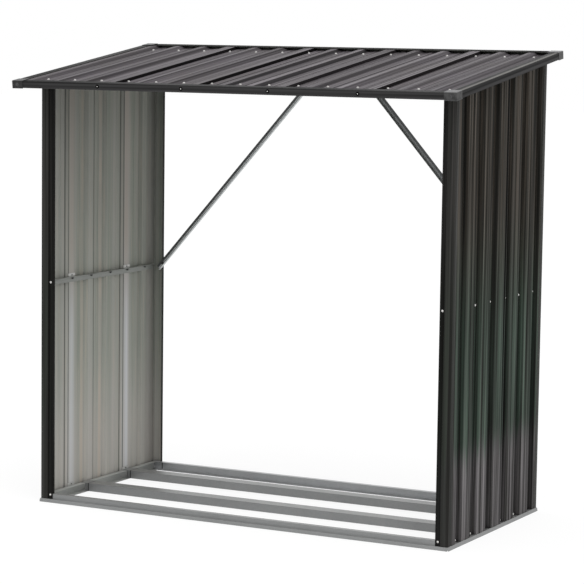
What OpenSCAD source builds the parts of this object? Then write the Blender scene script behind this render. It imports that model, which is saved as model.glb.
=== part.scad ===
// Open log store: a sheet-steel lean-to with two ribbed side walls, a ribbed roof that falls
// to the front, a floor frame with two slats, and an open front and back.
// The origin is the centre of the footprint of the whole store, at ground level.

/* [Overall] */
// Width over the faces of the two side walls
body_w = 1618; // [1200:1:2200]
// Depth over the faces of the front and rear posts
body_d = 788; // [600:1:1100]
// Height of the underside of the roof sheets at the front edge
eaves_h = 1514; // [1000:1:2000]
// Fall of the roof to the front, in degrees
roof_slope = 8; // [3:0.5:15]

/* [Sheet] */
// Thickness of the painted sheets and trims
sheet_t = 1; // [0.6:0.1:1.5]
// Thickness of the galvanised rails, slats and braces
rail_t = 1.2; // [0.8:0.1:2]
// Gap between two pieces that lie face to face
seat_gap = 0.2; // [0.1:0.05:0.4]

/* [Floor frame] */
// Height of the base rails
base_h = 30; // [24:1:50]
// Height of the outer ledge that the walls and posts stand on
ledge_h = 12; // [8:1:18]
// How far the ledge reaches out past the wall faces
ledge_out = 2; // [1:0.5:5]
// How far the lip below the ledge flares out
lip_flare = 4; // [2:0.5:8]
// Width of the rails' top flange
base_top_flange = 20; // [14:1:30]
// Width of the rails' bottom flange
base_bottom_flange = 32; // [24:1:45]
// Corner cut off the lips where two rails meet
lip_corner_cut = 5; // [2:1:10]
// Width of a floor slat
slat_w = 55; // [40:1:80]
// Depth of the fold along a slat's rear edge
slat_hem = 10; // [6:1:16]
// Front faces of the two slats, from the middle of the depth
slat_front_y = -150; // [-230:1:-110]
slat_rear_y = 148; // [60:1:180]

/* [Side walls] */
// Spacing of the grooves
groove_pitch = 127.5; // [118:0.5:132]
// How far the grooves lie to the rear of the wall's middle, on each side
groove_shift_right = 12; // [-24:1:24]
groove_shift_left = -24; // [-24:1:24]
// Depth of a groove
groove_depth = 12; // [8:1:16]
// Width of the bottom of a plain groove
groove_w = 30; // [20:1:36]
// Width of the bottom of the wide second and fifth grooves
wide_groove_w = 40; // [30:1:50]
// Width of a groove's sloping side
groove_side = 8; // [5:1:10]
// Where the rear panel starts on the rib that the two panels share, from the groove before it
panel_lap_in = 20; // [14:1:30]
// How far the front panel runs out over the groove behind that rib
panel_lap_out = 6; // [2:1:10]
// Height of the bead along a rib
bead_h = 1.5; // [1:0.5:2]
// Width of the top of a bead
bead_w = 12; // [8:1:16]

/* [Posts] */
// Width of a post's face
post_w = 47; // [42:1:70]
// Width of the raised outer part of the face
post_raised_w = 28; // [20:1:32]
// How far the inner strip is set back
post_step = 5; // [3:0.5:8]
// Depth of the fold along the inner edge
post_lip = 12; // [8:1:16]
// Width of the flange round the corner on the side wall
post_side_flange = 26; // [18:1:40]
// Chamfer on the outer corner
post_chamfer = 3; // [1:0.5:5]

/* [Rails and braces] */
// Height of the top of the mid rails
mid_rail_z = 809; // [500:1:1000]
// Height and width of a mid rail's angle
mid_rail_h = 20; // [14:1:30]
mid_rail_w = 15; // [10:1:25]
// Height and width of a top rail's angle
top_rail_h = 24; // [16:1:35]
top_rail_w = 18; // [12:1:30]
// Height and width of a roof beam's angle
beam_h = 28; // [20:1:40]
beam_w = 24; // [16:1:35]
// Width of a brace's flat leg and of its folded leg
brace_w = 21; // [15:1:30]
brace_fold = 13; // [8:1:20]
// Foot of a brace: from the wall face, and down from the top of the mid rail
brace_foot_in = 40; // [30:1:60]
brace_foot_drop = 8; // [8:1:40]
// Gap between the heads of the two braces at the roof beam
brace_head_gap = 70; // [40:1:200]

/* [Roof] */
// Overhang of the roof past each side wall
side_overhang = 49; // [30:1:100]
// Overhang of the roof past the front and rear posts
front_overhang = 112; // [60:1:200]
rear_overhang = 26; // [15:1:80]
// Spacing of the roof ribs
roof_pitch = 111.8; // [108:0.2:115]
// Distance of the first rib from the left edge
first_rib = 42; // [36:1:56]
// Height, top width and side width of a roof rib
roof_rib_h = 10; // [7:1:14]
roof_rib_w = 22; // [16:1:28]
roof_rib_side = 12; // [8:1:20]
// How far a roof sheet runs on past the rib that laps or is lapped
roof_lap = 6; // [4:1:10]

/* [Roof trim] */
// Height of the trim's face
trim_h = 25; // [20:1:40]
// Width of the trim's top flange
trim_flange = 30; // [20:1:40]
// Length of a corner cap along each side
cap_l = 45; // [40:1:60]
// Wall of a corner cap
cap_t = 1.6; // [1:0.1:2.5]

/* [Hidden] */

paint = "#3a3a3d";
roof_paint = "#55545a";
galvanised = "#a3a5a4";
grey_plastic = "#6f7072";

half_w = body_w / 2;
half_d = body_d / 2;

// A lap lifts the upper sheet by its own thickness and the seat gap.
lap_lift = sheet_t + seat_gap;

// Planes that the frame pieces share, measured in from the wall faces.
groove_back = groove_depth + sheet_t;
side_web_in = groove_back + seat_gap;
post_back = post_step + sheet_t;
end_web_in = post_back + seat_gap;
lip_reach = ledge_out + lip_flare;

// Side wall: the panels run between the posts' chamfered corners, with a flat at each end.
wall_end = half_d - post_chamfer - sheet_t;
wall_end_flat = 8;
groove_foot = groove_w / 2 + groove_side;
groove_shift_max = max(abs(groove_shift_right), abs(groove_shift_left));
groove_half_span = wall_end - wall_end_flat - groove_foot - groove_shift_max;
groove_n = floor(2 * groove_half_span / groove_pitch) + 1;
lap_jog = 3;

// Roof: local axes are x, v up the slope from the front edge, and w off the sheets' underside.
roof_half_w = half_w + side_overhang;
roof_front_y = -half_d - front_overhang;
roof_plan_d = body_d + front_overhang + rear_overhang;
roof_l = roof_plan_d / cos(roof_slope);
rib_top = roof_rib_h + sheet_t;
flange_w = rib_top + lap_lift + seat_gap;
trim_top = flange_w + sheet_t;
trim_bottom = trim_top - trim_h;
cap_gap = seat_gap;
cap_out = cap_gap + cap_t;

// The roof leans, so its ends set the front and rear of the whole store.
front_reach = -roof_front_y + cap_out * cos(roof_slope) + (trim_top + cap_out) * sin(roof_slope);
rear_reach = roof_front_y + (roof_l + cap_out) * cos(roof_slope)
    - (trim_bottom - cap_out) * sin(roof_slope);
centre_shift = (front_reach - rear_reach) / 2;

// Rear plane that the braces and the rear beam lie on, in front of the rear posts' folds.
brace_plane = half_d - post_back - post_lip - seat_gap;

// Height of the roof sheets' underside at a distance y from the middle of the depth.
function roof_z(y) = eaves_h + (y - roof_front_y) * tan(roof_slope);

// Unit vector at right angles to the way from point a to point b, on its left.
function left_of(a, b) = let (d = b - a) [-d[1], d[0]] / norm(d);

// Point i of the line pts moved sideways by s, with a mitred corner.
function moved(pts, i, s) =
    let (
        last = len(pts) - 1,
        n0 = i > 0 ? left_of(pts[i - 1], pts[i]) : left_of(pts[0], pts[1]),
        n1 = i < last ? left_of(pts[i], pts[i + 1]) : n0
    )
    pts[i] + s * (n0 + n1) / (1 + n0 * n1);

function moved_line(pts, s) = [for (i = [0:len(pts) - 1]) moved(pts, i, s)];

// Outline of a sheet of thickness t folded along the line pts, on its left side.
function folded(pts, t) =
    let (back = moved_line(pts, t))
    concat(pts, [for (i = [len(pts) - 1:-1:0]) back[i]]);

// One wave: a flat of width f at height h, centred on c, with sloping sides.
function wave(c, f, side, h) = [
    [c - f / 2 - side, 0],
    [c - f / 2, h],
    [c + f / 2, h],
    [c + f / 2 + side, 0]
];

// A small bead, centred on c.
function bead(c) = wave(c, bead_w, bead_h, bead_h);

// Joins a list of lists of points.
function joined(parts) = [for (part = parts) each part];

module in_place() {
    translate([0, centre_shift, 0]) children();
}

// Draws a section given in y and z along x, from x0 to x1.
module along_x(x0, x1) {
    translate([x0, 0, 0]) rotate([90, 0, 90]) linear_extrude(x1 - x0) children();
}

// Draws a section given in x and z along y, from y0 to y1.
module along_y(y0, y1) {
    translate([0, y1, 0]) rotate([90, 0, 0]) linear_extrude(y1 - y0) children();
}

module on_left() {
    mirror([1, 0, 0]) children();
}

module at_rear() {
    mirror([0, 1, 0]) children();
}

// Roof axes: x, v up the slope, w off the underside of the sheets.
module on_roof() {
    translate([0, roof_front_y, eaves_h]) rotate([roof_slope, 0, 0]) children();
}

// Keeps what lies below the roof sheets.
module below_roof() {
    intersection() {
        children();
        on_roof()
            translate([-body_w, -body_d, -2 * eaves_h])
                cube([2 * body_w, 4 * body_d, 2 * eaves_h - seat_gap]);
    }
}

// ---- floor frame ----

// Section of a base rail: s is measured in from the wall or post face, and the web stands at web_in.
module base_section(web_in) {
    lip_t = rail_t * norm([lip_flare, ledge_h]) / ledge_h;
    lip_run = lip_flare * rail_t / ledge_h;
    polygon([
        [web_in + base_bottom_flange, 0],
        [web_in, 0],
        [web_in, ledge_h - rail_t],
        [lip_t - ledge_out - lip_run, ledge_h - rail_t],
        [lip_t - lip_reach, 0],
        [-lip_reach, 0],
        [-ledge_out, ledge_h],
        [web_in, ledge_h],
        [web_in, base_h],
        [web_in + base_top_flange, base_h],
        [web_in + base_top_flange, base_h - rail_t],
        [web_in + rail_t, base_h - rail_t],
        [web_in + rail_t, rail_t],
        [web_in + base_bottom_flange, rail_t]
    ]);
}

// Plan of a rail that runs along x with half length half_l: its ends are mitred.
module mitred_plan(half_l) {
    corner = half_l + lip_reach;
    cut = lip_corner_cut;
    deep = 3 * base_bottom_flange;
    polygon([
        [-corner + cut, -lip_reach - 1],
        [-corner + cut, -lip_reach],
        [-corner + cut / 2 + seat_gap, -lip_reach + cut / 2],
        [-corner + deep + seat_gap, -lip_reach + deep],
        [corner - deep - seat_gap, -lip_reach + deep],
        [corner - cut / 2 - seat_gap, -lip_reach + cut / 2],
        [corner - cut, -lip_reach],
        [corner - cut, -lip_reach - 1]
    ]);
}

// A rail along x whose outer face looks to -y.
module base_rail(half_l, web_in) {
    intersection() {
        along_x(-half_l - lip_reach, half_l + lip_reach) base_section(web_in);
        translate([0, 0, -1]) linear_extrude(base_h + 2) mitred_plan(half_l);
    }
}

module base_rail_front() {
    color(galvanised) in_place()
        translate([0, -half_d, 0]) base_rail(half_w, end_web_in);
}

module base_rail_rear() {
    color(galvanised) in_place() at_rear()
        translate([0, -half_d, 0]) base_rail(half_w, end_web_in);
}

module base_rail_right() {
    color(galvanised) in_place()
        translate([half_w, 0, 0]) rotate([0, 0, 90]) base_rail(half_d, side_web_in);
}

module base_rail_left() {
    color(galvanised) in_place()
        translate([-half_w, 0, 0]) rotate([0, 0, -90]) base_rail(half_d, side_web_in);
}

// A slat: its webs stand on the side rails' bottom flanges, and its top laps their top flanges.
module floor_slat(front_y) {
    web_half = half_w - side_web_in - base_top_flange - 1;
    top_half = half_w - side_web_in - rail_t - 1;
    web_foot = rail_t + seat_gap;
    top_z = base_h + seat_gap;
    translate([0, front_y, 0]) {
        along_x(-web_half, web_half)
            polygon(folded([
                [0, web_foot],
                [0, top_z + rail_t],
                [slat_w, top_z + rail_t],
                [slat_w, top_z + rail_t - slat_hem]
            ], -rail_t));
        translate([-top_half, 0, top_z]) cube([2 * top_half, slat_w, rail_t]);
    }
}

module floor_slat_front() {
    color(galvanised) in_place() floor_slat(slat_front_y);
}

module floor_slat_rear() {
    color(galvanised) in_place() floor_slat(slat_rear_y);
}

// ---- side walls ----

// Places along y are for grooves moved to the rear by s.
function groove_y(k, s) = s + (k - (groove_n - 1) / 2) * groove_pitch;
function groove_width(k) = (k == 1 || k == groove_n - 2) ? wide_groove_w : groove_w;
function groove(k, s) = wave(groove_y(k, s), groove_width(k), groove_side, -groove_depth);
function rib_bead(k, s) = bead(groove_y(k, s) + groove_pitch / 2);

// Grooves k0 to k1 with a bead on each rib between them.
function grooves(k0, k1, s) = joined([
    for (k = [k0:k1]) concat(groove(k, s), k < k1 ? rib_bead(k, s) : [])
]);

// The front panel laps over the rear one on the rib behind groove lap_from.
lap_from = ceil(groove_n / 2) - 1;
lap_to = lap_from + 1;

function front_panel_line(s) =
    let (
        start = groove(lap_from, s)[3][0] + panel_lap_in,
        over = concat(
            [[start - lap_jog, 0]],
            rib_bead(lap_from, s),
            [[groove(lap_to, s)[0][0] + panel_lap_out, 0]]
        )
    )
    concat(
        [[-wall_end, 0]],
        grooves(0, lap_from, s),
        [[start - 2 * lap_jog, 0]],
        moved_line(over, lap_lift)
    );

function rear_panel_line(s) = concat(
    [[groove(lap_from, s)[3][0] + panel_lap_in, 0]],
    rib_bead(lap_from, s),
    grooves(lap_to, groove_n - 1, s),
    [[wall_end, 0]]
);

// A wall panel for the right side: the line gives y, and the height off the wall face.
module wall_panel(line) {
    below_roof()
        translate([half_w, 0, ledge_h + seat_gap])
            linear_extrude(roof_z(half_d))
                polygon([for (p = folded(line, -sheet_t)) [p[1], p[0]]]);
}

module right_panel_front() {
    color(paint) in_place() wall_panel(front_panel_line(groove_shift_right));
}

module right_panel_rear() {
    color(paint) in_place() wall_panel(rear_panel_line(groove_shift_right));
}

module left_panel_front() {
    color(paint) in_place() on_left() wall_panel(front_panel_line(groove_shift_left));
}

module left_panel_rear() {
    color(paint) in_place() on_left() wall_panel(rear_panel_line(groove_shift_left));
}

// ---- posts ----

// Plan of the right front post, folded from one strip.
module post_plan() {
    face = -half_d;
    side = half_w + seat_gap + sheet_t;
    polygon(folded([
        [side, face + post_side_flange],
        [side, face + post_chamfer],
        [side - post_chamfer, face],
        [half_w - post_raised_w, face],
        [half_w - post_raised_w - post_step / 2, face + post_step],
        [half_w - post_w, face + post_step],
        [half_w - post_w, face + post_back + post_lip]
    ], -sheet_t));
}

// A right-hand post whose inner fold runs from just above the base rail up to fold_top.
module post_blank(fold_top) {
    difference() {
        translate([0, 0, ledge_h + seat_gap])
            linear_extrude(roof_z(half_d)) post_plan();
        for (z = [base_h + 1 - eaves_h, fold_top])
            translate([half_w - post_w - 1, -half_d + post_back, z])
                cube([post_raised_w, post_lip + 1, eaves_h]);
    }
}

// The front beam passes behind the front posts, and the rear beam's top leg over the rear ones.
module front_post() {
    below_roof() post_blank(roof_z(beam_front_y) - beam_h - rail_t);
}

module rear_post() {
    below_roof() at_rear() post_blank(roof_z(brace_plane) - 2 * rail_t);
}

module front_post_right() {
    color(paint) in_place() front_post();
}

module front_post_left() {
    color(paint) in_place() on_left() front_post();
}

module rear_post_right() {
    color(paint) in_place() rear_post();
}

module rear_post_left() {
    color(paint) in_place() on_left() rear_post();
}

// ---- rails, beams and braces ----

mid_rail_front = -half_d + end_web_in;
mid_rail_rear = brace_plane - 2 * rail_t - brace_fold;

// Angle against the inside of the right wall, with its flat leg on top.
module mid_rail() {
    along_y(mid_rail_front, mid_rail_rear)
        polygon(folded([
            [half_w - side_web_in, mid_rail_z - mid_rail_h],
            [half_w - side_web_in, mid_rail_z],
            [half_w - side_web_in - mid_rail_w, mid_rail_z]
        ], rail_t));
}

module mid_rail_right() {
    color(galvanised) in_place() mid_rail();
}

module mid_rail_left() {
    color(galvanised) in_place() on_left() mid_rail();
}

// Front face of each roof beam, and the stretch between the beams for the top rails.
beam_front_y = -half_d + end_web_in;
beam_rear_y = brace_plane - rail_t;
beam_half = half_w - side_web_in;
top_rail_from = (beam_front_y + beam_w + beam_h * sin(roof_slope) - roof_front_y) / cos(roof_slope);
top_rail_to = (beam_rear_y - beam_h * sin(roof_slope) - roof_front_y) / cos(roof_slope);

// Angle up the slope against the inside of the right wall, under the roof sheets.
module top_rail() {
    on_roof()
        along_y(top_rail_from, top_rail_to)
            polygon(folded([
                [half_w - side_web_in, -seat_gap - top_rail_h],
                [half_w - side_web_in, -seat_gap],
                [half_w - side_web_in - top_rail_w, -seat_gap]
            ], rail_t));
}

module top_rail_right() {
    color(galvanised) in_place() top_rail();
}

module top_rail_left() {
    color(galvanised) in_place() on_left() top_rail();
}

// Angle across the store: an upright leg at y0, and a leg to y1 that follows the roof's slope.
module roof_beam(y0, y1) {
    drop = seat_gap / cos(roof_slope);
    along_x(-beam_half, beam_half)
        polygon(folded([
            [y0, roof_z(y0) - drop - beam_h],
            [y0, roof_z(y0) - drop],
            [y1, roof_z(y1) - drop]
        ], -rail_t));
}

module roof_beam_front() {
    color(galvanised) in_place() roof_beam(beam_front_y, beam_front_y + beam_w);
}

// The rear beam's top leg stops short of the rear posts' inner strip.
module roof_beam_rear() {
    color(galvanised) in_place() roof_beam(beam_rear_y, half_d - end_web_in);
}

// A brace on the left: from the rear post at the mid rail up to the middle of the rear beam.
module brace() {
    foot = [-half_w + brace_foot_in, mid_rail_z - brace_foot_drop];
    head = [-brace_head_gap / 2, roof_z(beam_rear_y) - beam_h / 2];
    run = head - foot;
    angle = atan2(run[1], run[0]);
    intersection() {
        translate([foot[0], beam_rear_y - seat_gap, foot[1]])
            rotate([0, -angle, 0]) {
                translate([-brace_w / 2, -rail_t, -brace_w / 2])
                    cube([norm(run) + brace_w, rail_t, brace_w]);
                translate([-brace_w / 2, -brace_fold, -brace_w / 2])
                    cube([norm(run) + brace_w, brace_fold, rail_t]);
            }
        on_roof()
            translate([-body_w, -body_d, -2 * eaves_h])
                cube([2 * body_w, 4 * body_d, 2 * eaves_h - 4 * rail_t]);
    }
}

module brace_left() {
    color(galvanised) in_place() brace();
}

module brace_right() {
    color(galvanised) in_place() on_left() brace();
}

// ---- roof sheets ----

roof_sheet_n = 5;
rib_foot = roof_rib_w / 2 + roof_rib_side;
sheet_edge = roof_half_w - sheet_t - seat_gap;
roof_rib_n = floor((roof_half_w + sheet_edge - first_rib - rib_foot - roof_lap) / roof_pitch) + 1;

function rib_x(k) = -roof_half_w + first_rib + k * roof_pitch;
function rib(k) = wave(rib_x(k), roof_rib_w, roof_rib_side, roof_rib_h);

// First rib of sheet i: the ribs are shared out over the sheets.
function first_rib_of(i) = round(i * roof_rib_n / roof_sheet_n);

// Ribs k0 to k1 with a bead in each valley between them.
function ribs(k0, k1) = joined([
    for (k = [k0:k1]) concat(rib(k), k < k1 ? bead(rib_x(k) + roof_pitch / 2) : [])
]);

// Sheet i, counted from the left: its right edge laps over the next sheet's first rib and ends
// in an upright edge.
function roof_sheet_line(i) =
    let (
        k0 = first_rib_of(i),
        k1 = first_rib_of(i + 1) - 1,
        start = i == 0 ? -sheet_edge : rib_x(k0) - rib_foot - roof_lap,
        lap_x = rib_x(k1 + 1),
        over = [
            [lap_x - rib_foot - roof_lap - lap_jog, 0],
            [lap_x - rib_foot, 0],
            [lap_x - roof_rib_w / 2, roof_rib_h],
            [lap_x + rib_foot + sheet_t, roof_rib_h],
            [lap_x + rib_foot + sheet_t, lap_lift]
        ]
    )
    concat(
        [[start, 0]],
        ribs(k0, k1),
        i == roof_sheet_n - 1 ? [[sheet_edge, 0]]
            : concat(
                bead(rib_x(k1) + roof_pitch / 2),
                [[lap_x - rib_foot - roof_lap - 2 * lap_jog, 0]],
                moved_line(over, lap_lift)
            )
    );

module roof_sheet(i) {
    color(roof_paint) in_place() on_roof()
        along_y(sheet_t + seat_gap, roof_l - sheet_t - seat_gap)
            polygon(folded(roof_sheet_line(i), sheet_t));
}

module roof_sheet_1() { roof_sheet(0); }
module roof_sheet_2() { roof_sheet(1); }
module roof_sheet_3() { roof_sheet(2); }
module roof_sheet_4() { roof_sheet(3); }
module roof_sheet_5() { roof_sheet(4); }

// ---- roof trim ----

// Section of a trim: s is measured in from its face.
module trim_section() {
    polygon(folded([
        [0, trim_bottom],
        [0, trim_top],
        [trim_flange, trim_top]
    ], -sheet_t));
}

module end_trim() {
    along_x(-roof_half_w + seat_gap, roof_half_w - seat_gap) trim_section();
}

module side_trim() {
    along_y(trim_flange + seat_gap, roof_l - trim_flange - seat_gap)
        translate([roof_half_w, 0]) mirror([1, 0]) trim_section();
}

module roof_trim_front() {
    color(paint) in_place() on_roof() end_trim();
}

module roof_trim_rear() {
    color(paint) in_place() on_roof() translate([0, roof_l, 0]) at_rear() end_trim();
}

module roof_trim_right() {
    color(paint) in_place() on_roof() side_trim();
}

module roof_trim_left() {
    color(paint) in_place() on_roof() on_left() side_trim();
}

// A cap over the right front corner of the trims: a top with two faces.
module corner_cap() {
    x1 = roof_half_w + cap_out;
    top = trim_top + cap_out;
    bottom = trim_bottom - cap_out;
    difference() {
        translate([x1 - cap_l, -cap_out, bottom]) cube([cap_l, cap_l, top - bottom]);
        translate([x1 - cap_l - 1, -cap_gap, bottom - 1])
            cube([cap_l + 1 - cap_t, cap_l + 1, trim_top + cap_gap - bottom + 1]);
    }
}

module corner_cap_front_right() {
    color(grey_plastic) in_place() on_roof() corner_cap();
}

module corner_cap_front_left() {
    color(grey_plastic) in_place() on_roof() on_left() corner_cap();
}

module corner_cap_rear_right() {
    color(grey_plastic) in_place() on_roof()
        translate([0, roof_l, 0]) at_rear() corner_cap();
}

module corner_cap_rear_left() {
    color(grey_plastic) in_place() on_roof()
        translate([0, roof_l, 0]) at_rear() on_left() corner_cap();
}

base_rail_front();
base_rail_rear();
base_rail_left();
base_rail_right();
floor_slat_front();
floor_slat_rear();
left_panel_front();
left_panel_rear();
right_panel_front();
right_panel_rear();
front_post_left();
front_post_right();
rear_post_left();
rear_post_right();
mid_rail_left();
mid_rail_right();
top_rail_left();
top_rail_right();
roof_beam_front();
roof_beam_rear();
brace_left();
brace_right();
roof_sheet_1();
roof_sheet_2();
roof_sheet_3();
roof_sheet_4();
roof_sheet_5();
roof_trim_front();
roof_trim_rear();
roof_trim_left();
roof_trim_right();
corner_cap_front_left();
corner_cap_front_right();
corner_cap_rear_left();
corner_cap_rear_right();
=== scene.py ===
import math

import bmesh
import bpy
from mathutils import Matrix, Vector


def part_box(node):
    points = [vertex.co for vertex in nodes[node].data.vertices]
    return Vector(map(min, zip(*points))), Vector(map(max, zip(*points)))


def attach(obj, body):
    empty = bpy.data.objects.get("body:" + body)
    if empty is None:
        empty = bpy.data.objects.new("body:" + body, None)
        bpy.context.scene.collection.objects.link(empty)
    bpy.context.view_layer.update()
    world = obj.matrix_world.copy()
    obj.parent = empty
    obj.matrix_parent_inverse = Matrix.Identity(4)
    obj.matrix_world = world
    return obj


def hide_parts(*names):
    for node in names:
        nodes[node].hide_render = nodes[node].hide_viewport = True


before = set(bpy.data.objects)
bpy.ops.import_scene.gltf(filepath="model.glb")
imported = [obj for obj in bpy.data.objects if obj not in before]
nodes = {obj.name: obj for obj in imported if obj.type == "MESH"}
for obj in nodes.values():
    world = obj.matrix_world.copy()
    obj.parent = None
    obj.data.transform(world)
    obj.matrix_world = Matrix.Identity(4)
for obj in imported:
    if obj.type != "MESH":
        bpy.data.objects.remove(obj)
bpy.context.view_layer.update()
print("frame loaded:", len(nodes), "pieces")

cameraPlace = {
    "place": (3.983, -7.545, 1.7353),
    "turn": 27.661,       # degrees to the left of straight back
    "tilt": 6.347,        # degrees below level
    "roll": 0.773,
    "lens": 147.74,       # mm
    "sensor": 36,         # mm
    "farEnd": 100,
}


def placeCamera():
    data = bpy.data.cameras.new("camera")
    data.sensor_width = cameraPlace["sensor"]
    data.lens = cameraPlace["lens"]
    data.clip_end = cameraPlace["farEnd"]
    camera = bpy.data.objects.new("camera", data)
    bpy.context.scene.collection.objects.link(camera)
    turned = (
        Matrix.Rotation(math.radians(cameraPlace["turn"]), 4, "Z")
        @ Matrix.Rotation(math.radians(90 - cameraPlace["tilt"]), 4, "X")
        @ Matrix.Rotation(math.radians(cameraPlace["roll"]), 4, "Z")
    )
    camera.matrix_world = Matrix.Translation(cameraPlace["place"]) @ turned
    bpy.context.scene.camera = camera


placeCamera()
print("camera placed")


# small helpers for node trees

def addNode(tree, kind, label="", **settings):
    node = tree.nodes.new(kind)
    if label:
        node.label = label
    for key, value in settings.items():
        setattr(node, key, value)
    return node


def feed(tree, source, socket):
    # source is a socket, or a plain value for the socket
    if isinstance(source, bpy.types.NodeSocket):
        tree.links.new(source, socket)
    else:
        socket.default_value = source


def maths(tree, what, a, b=0.0, c=0.0, clamp=False):
    node = addNode(tree, "ShaderNodeMath", operation=what, use_clamp=clamp)
    feed(tree, a, node.inputs[0])
    feed(tree, b, node.inputs[1])
    feed(tree, c, node.inputs[2])
    return node.outputs[0]


def times(tree, a, b):
    return maths(tree, "MULTIPLY", a, b)


def blendColour(tree, share, a, b, how="MIX"):
    node = addNode(tree, "ShaderNodeMix", data_type="RGBA", blend_type=how)
    feed(tree, share, node.inputs["Factor"])
    feed(tree, a, node.inputs[6])
    feed(tree, b, node.inputs[7])
    return node.outputs[2]


def fade(tree, value, low, high, outLow=0.0, outHigh=1.0):
    node = addNode(tree, "ShaderNodeMapRange", interpolation_type="SMOOTHSTEP")
    feed(tree, value, node.inputs["Value"])
    node.inputs["From Min"].default_value = low
    node.inputs["From Max"].default_value = high
    node.inputs["To Min"].default_value = outLow
    node.inputs["To Max"].default_value = outHigh
    return node.outputs["Result"]


def greyOf(tree, value):
    node = addNode(tree, "ShaderNodeCombineColor")
    for socket in node.inputs[:3]:
        feed(tree, value, socket)
    return node.outputs[0]


def darken(tree, colour, share):
    # the colour times a grey of that brightness
    return blendColour(tree, 1.0, colour, greyOf(tree, share), "MULTIPLY")


def splitXyz(tree, vector):
    node = addNode(tree, "ShaderNodeSeparateXYZ")
    feed(tree, vector, node.inputs[0])
    return node.outputs


def joinXyz(tree, x, y, z):
    node = addNode(tree, "ShaderNodeCombineXYZ")
    for part, socket in zip((x, y, z), node.inputs):
        feed(tree, part, socket)
    return node.outputs[0]


def stretched(tree, vector, scale):
    node = addNode(tree, "ShaderNodeVectorMath", operation="MULTIPLY")
    feed(tree, vector, node.inputs[0])
    feed(tree, scale, node.inputs[1])
    return node.outputs[0]


def noise(tree, vector, scale, detail=2.0, roughness=0.5):
    node = addNode(tree, "ShaderNodeTexNoise")
    feed(tree, vector, node.inputs["Vector"])
    feed(tree, scale, node.inputs["Scale"])
    feed(tree, detail, node.inputs["Detail"])
    feed(tree, roughness, node.inputs["Roughness"])
    return node.outputs["Fac"]


def newGroup(name, inputs, outputs):
    # inputs: (name, kind, value); outputs: (name, kind)
    kinds = {"value": "NodeSocketFloat", "vector": "NodeSocketVector",
             "colour": "NodeSocketColor"}
    group = bpy.data.node_groups.new(name, "ShaderNodeTree")
    for label, kind, value in inputs:
        made = group.interface.new_socket(label, in_out="INPUT", socket_type=kinds[kind])
        if value is not None:
            made.default_value = value
    for label, kind in outputs:
        group.interface.new_socket(label, in_out="OUTPUT", socket_type=kinds[kind])
    start = addNode(group, "NodeGroupInput")
    end = addNode(group, "NodeGroupOutput")
    return group, start.outputs, end.inputs


def useGroup(tree, group, **values):
    node = addNode(tree, "ShaderNodeGroup", group.name)
    node.node_tree = group
    for label, value in values.items():
        feed(tree, value, node.inputs[label])
    return node.outputs


# what the finishes share

def makeSheetStreaks():
    # long soft streaks that a coil-coated sheet shows along its length
    group, given, out = newGroup(
        "sheetStreaks",
        [("Position", "vector", None), ("Across", "value", 40.0),
         ("Along", "value", 0.8)],
        [("Broad", "value"), ("Narrow", "value"), ("Cloud", "value")],
    )
    spread = joinXyz(group, given["Across"], given["Across"], given["Along"])
    along = stretched(group, given["Position"], spread)
    feed(group, noise(group, along, 0.35, 2.0), out["Broad"])
    feed(group, noise(group, along, 2.2, 3.0, 0.6), out["Narrow"])
    feed(group, noise(group, given["Position"], 3.2, 3.0, 0.55), out["Cloud"])
    return group


def makeSpangle():
    # zinc crystals a few millimetres across, each with its own grey
    group, given, out = newGroup(
        "zincSpangle",
        [("Position", "vector", None), ("Crystal", "value", 0.007)],
        [("Grey", "value"), ("Edge", "value")],
    )
    warp = addNode(group, "ShaderNodeTexNoise")
    feed(group, given["Position"], warp.inputs["Vector"])
    warp.inputs["Scale"].default_value = 160.0
    moved = addNode(group, "ShaderNodeVectorMath", operation="MULTIPLY_ADD")
    feed(group, warp.outputs["Color"], moved.inputs[0])
    moved.inputs[1].default_value = (0.004, 0.004, 0.004)
    feed(group, given["Position"], moved.inputs[2])
    size = maths(group, "DIVIDE", 1.0, given["Crystal"])
    cells = addNode(group, "ShaderNodeTexVoronoi", feature="F1")
    feed(group, moved.outputs[0], cells.inputs["Vector"])
    feed(group, size, cells.inputs["Scale"])
    split = addNode(group, "ShaderNodeSeparateColor")
    feed(group, cells.outputs["Color"], split.inputs[0])
    rim = addNode(group, "ShaderNodeTexVoronoi", feature="DISTANCE_TO_EDGE")
    feed(group, moved.outputs[0], rim.inputs["Vector"])
    feed(group, size, rim.inputs["Scale"])
    feed(group, split.outputs[0], out["Grey"])
    feed(group, fade(group, rim.outputs["Distance"], 0.0, 0.08), out["Edge"])
    return group


def makeFoldLine():
    # rounds the look of each fold and gives a mask of the fold itself
    group, given, out = newGroup(
        "foldLine",
        [("Radius", "value", 0.0015)],
        [("Normal", "vector"), ("Fold", "value")],
    )
    soft = addNode(group, "ShaderNodeBevel", samples=6)
    feed(group, given["Radius"], soft.inputs["Radius"])
    plain = addNode(group, "ShaderNodeNewGeometry")
    same = addNode(group, "ShaderNodeVectorMath", operation="DOT_PRODUCT")
    feed(group, soft.outputs[0], same.inputs[0])
    feed(group, plain.outputs["True Normal"], same.inputs[1])
    feed(group, soft.outputs[0], out["Normal"])
    feed(group, fade(group, same.outputs["Value"], 0.995, 0.8), out["Fold"])
    return group


def makeOrangePeel():
    # the fine uneven skin of sprayed or rolled paint
    group, given, out = newGroup(
        "orangePeel",
        [("Position", "vector", None), ("Grain", "value", 0.004)],
        [("Height", "value")],
    )
    size = maths(group, "DIVIDE", 1.0, given["Grain"])
    small = noise(group, given["Position"], size, 2.0)
    wide = noise(group, given["Position"], maths(group, "DIVIDE", size, 14.0), 2.0)
    feed(group, maths(group, "MULTIPLY_ADD", wide, 3.0, small), out["Height"])
    return group


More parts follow.
